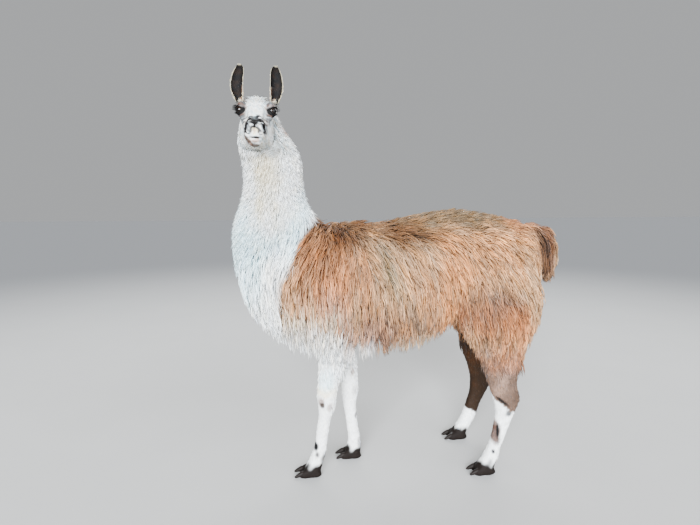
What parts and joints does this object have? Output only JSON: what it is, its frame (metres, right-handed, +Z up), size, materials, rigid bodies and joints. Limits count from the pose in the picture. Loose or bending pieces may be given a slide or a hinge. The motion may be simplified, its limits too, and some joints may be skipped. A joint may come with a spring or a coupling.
{
  "type": "llama",
  "caption": "Standing adult llama in full fleece, head turned a quarter to its left, on four two-toed feet.",
  "frame": {"origin": "on the floor, under the centre of the bounding box", "axes": "+Z up, the trunk faces -X, its left side is -Y and the turned head faces -Y"},
  "size_m": [1.4598, 0.5434, 1.7499],
  "materials": {
    "fleece_caramel": "long wavy fleece",
    "fleece_white": "fine crimped fleece",
    "fleece_grey": "short dense hair",
    "foot": "short dark hair and bare skin",
    "nail": "dull horn",
    "eye": "wet gloss"
  },
  "bodies": {
    "root": {"trunk": "fleece_caramel", "neck": "fleece_white", "head": "fleece_white", "lower_jaw": "fleece_white", "ear_left": "fleece_white", "ear_right": "fleece_white", "eye_left": "eye", "eye_right": "eye", "tail": "fleece_caramel", "foreleg_left_upper": "fleece_white", "foreleg_left_lower": "fleece_white", "foreleg_right_upper": "fleece_white", "foreleg_right_lower": "fleece_white", "hindleg_left_upper": "fleece_caramel", "hindleg_left_lower": "fleece_grey", "hindleg_right_upper": "fleece_caramel", "hindleg_right_lower": "fleece_grey", "forefoot_left": "foot", "forefoot_right": "foot", "hindfoot_left": "foot", "hindfoot_right": "foot", "forenail_left_inner": "nail", "forenail_left_outer": "nail", "forenail_right_inner": "nail", "forenail_right_outer": "nail", "hindnail_left_inner": "nail", "hindnail_left_outer": "nail", "hindnail_right_inner": "nail", "hindnail_right_outer": "nail"}
  },
  "joints": []
}
